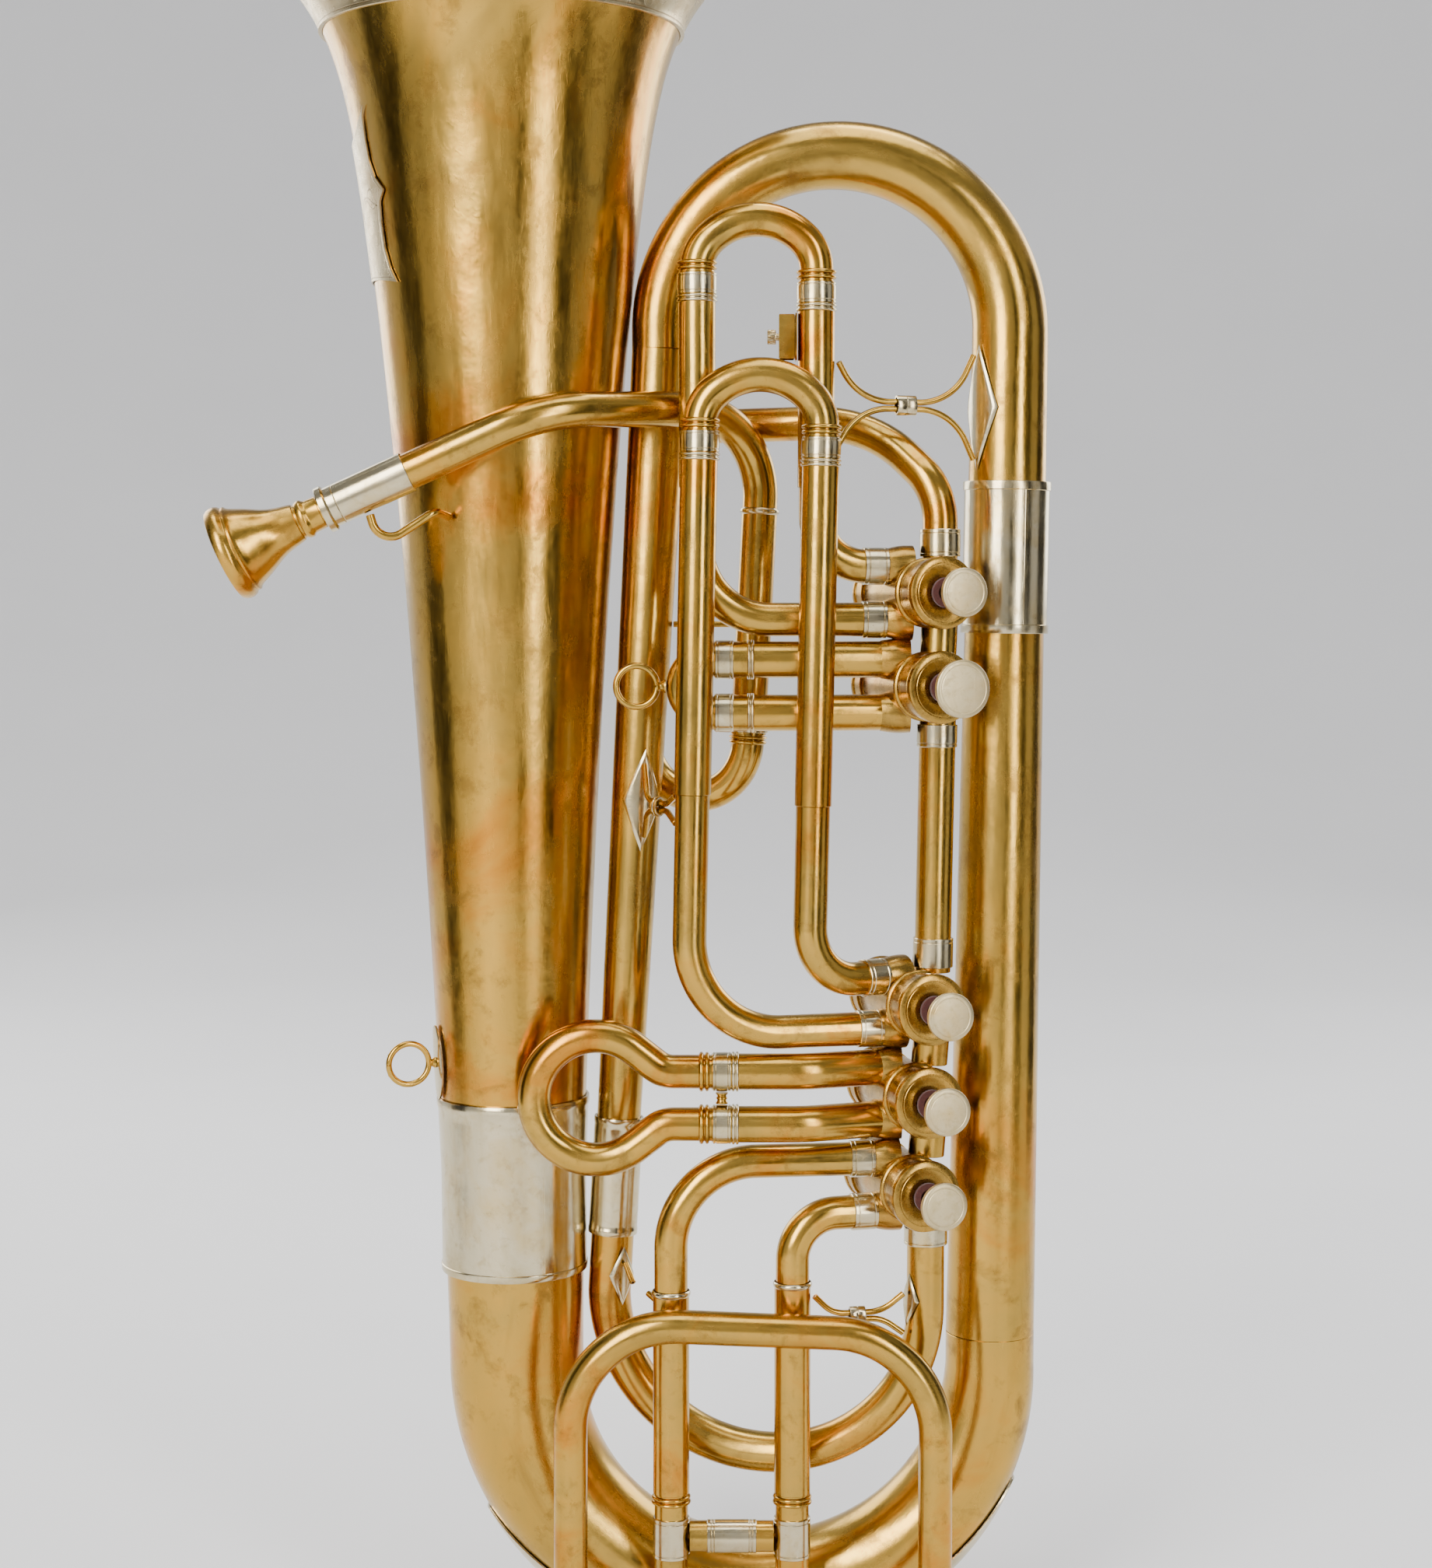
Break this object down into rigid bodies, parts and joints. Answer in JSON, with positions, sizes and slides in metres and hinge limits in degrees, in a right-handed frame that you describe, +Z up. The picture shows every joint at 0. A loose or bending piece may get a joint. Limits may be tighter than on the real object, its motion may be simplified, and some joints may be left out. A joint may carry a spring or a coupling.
{
  "type": "tuba",
  "caption": "Small bass tuba in brass with an upright bell, front piston valves, tuned slides and nickel silver trim",
  "frame": {"origin": "lowest point of the bow guard, under the bottom bow's centre, in the plane of the large tubing", "axes": "+Z up towards the bell's mouth, +X from the bell towards the riser, -Y towards the valve buttons"},
  "size_m": [0.3703, 0.2248, 0.7766],
  "materials": {
    "brass": "aged, lightly tarnished, hand polished",
    "nickel_silver": "worn nickel silver, fine scratches",
    "red_felt": "pressed wool felt",
    "spring_steel": "bare wire"
  },
  "bodies": {
    "root": {"bell": "brass", "bell_garland": "nickel_silver", "bell_shield": "nickel_silver", "bell_band": "nickel_silver", "bottom_bow": "brass", "bow_guard": "nickel_silver", "riser_tube": "brass", "riser_band": "nickel_silver", "top_bow": "brass", "main_tube": "brass", "main_band": "nickel_silver", "inner_bow": "brass", "mouthpiece_receiver": "nickel_silver", "leadpipe": "brass", "leadpipe_stay": "brass", "feed_tube": "brass", "valve_tubes": "brass", "tube_ferrules": "nickel_silver", "casing_1": "brass", "casing_2": "brass", "casing_3": "brass", "casing_4": "brass", "casing_5": "brass", "front_caps": "brass", "rear_caps": "brass", "cap_felts": "red_felt", "loop_1_legs": "brass", "slide_2_legs": "brass", "loop_3_legs": "brass", "slide_4_legs": "brass", "loop_5_legs": "brass", "loop_ferrules": "nickel_silver", "tube_stays": "brass", "stay_feet": "nickel_silver", "strap_ring": "brass", "lyre_socket": "brass"},
    "valve_1": {"piston_1": "nickel_silver", "button_1": "nickel_silver", "spring_1": "spring_steel"},
    "valve_2": {"piston_2": "nickel_silver", "button_2": "nickel_silver", "spring_2": "spring_steel"},
    "valve_3": {"piston_3": "nickel_silver", "button_3": "nickel_silver", "spring_3": "spring_steel"},
    "valve_4": {"piston_4": "nickel_silver", "button_4": "nickel_silver", "spring_4": "spring_steel"},
    "valve_5": {"piston_5": "nickel_silver", "button_5": "nickel_silver", "spring_5": "spring_steel"},
    "mouthpiece": {"mouthpiece": "brass"},
    "tuning_slide": {"tuning_slide": "brass"},
    "loop_1_slide": {"loop_1_crook": "brass"},
    "loop_2_slide": {"slide_2_crook": "brass", "pull_ring": "brass"},
    "loop_3_slide": {"loop_3_crook": "brass"},
    "loop_4_slide": {"slide_4_crook": "brass"},
    "loop_5_slide": {"loop_5_crook": "brass", "loop_5_sleeves": "nickel_silver"},
    "lyre_screw": {"lyre_screw": "nickel_silver"}
  },
  "joints": [
    {"name": "valve_1_press", "type": "slide", "parent": "root", "child": "valve_1", "axis": [-0.342, 0.9397, 0], "range_m": [0, 0.014], "stiffness_N_per_m": 90, "springref_m": -0.02, "deforming": ["spring_1"]},
    {"name": "valve_2_press", "type": "slide", "parent": "root", "child": "valve_2", "axis": [-0.342, 0.9397, 0], "range_m": [0, 0.014], "stiffness_N_per_m": 90, "springref_m": -0.02, "deforming": ["spring_2"]},
    {"name": "valve_3_press", "type": "slide", "parent": "root", "child": "valve_3", "axis": [-0.2924, 0.9563, 0], "range_m": [0, 0.014], "stiffness_N_per_m": 90, "springref_m": -0.02, "deforming": ["spring_3"]},
    {"name": "valve_4_press", "type": "slide", "parent": "root", "child": "valve_4", "axis": [-0.2924, 0.9563, 0], "range_m": [0, 0.014], "stiffness_N_per_m": 90, "springref_m": -0.02, "deforming": ["spring_4"]},
    {"name": "valve_5_press", "type": "slide", "parent": "root", "child": "valve_5", "axis": [-0.2924, 0.9563, 0], "range_m": [0, 0.014], "stiffness_N_per_m": 90, "springref_m": -0.02, "deforming": ["spring_5"]},
    {"name": "mouthpiece_pull", "type": "slide", "parent": "root", "child": "mouthpiece", "axis": [-0.91, 0, -0.4147], "range_m": [0, 0.03]},
    {"name": "tuning_slide_pull", "type": "slide", "parent": "root", "child": "tuning_slide", "axis": [-0.0504, 0, -0.9987], "range_m": [0, 0.035]},
    {"name": "loop_1_slide_pull", "type": "slide", "parent": "root", "child": "loop_1_slide", "axis": [0, 0, 1], "range_m": [0, 0.035]},
    {"name": "loop_2_slide_pull", "type": "slide", "parent": "root", "child": "loop_2_slide", "axis": [-1, 0, 0], "range_m": [0, 0.02]},
    {"name": "loop_3_slide_pull", "type": "slide", "parent": "root", "child": "loop_3_slide", "axis": [0.0202, 0, 0.9998], "range_m": [0, 0.05]},
    {"name": "loop_4_slide_pull", "type": "slide", "parent": "root", "child": "loop_4_slide", "axis": [-1, 0, 0], "range_m": [0, 0.02]},
    {"name": "loop_5_slide_pull", "type": "slide", "parent": "root", "child": "loop_5_slide", "axis": [0, 0, -1], "range_m": [0, 0.03]},
    {"name": "lyre_screw_turn", "type": "hinge", "parent": "root", "child": "lyre_screw", "pos_m": [0.01019, -0.0364, 0.6012], "axis": [-1, 0, 0], "range_deg": [-180, 180]}
  ]
}
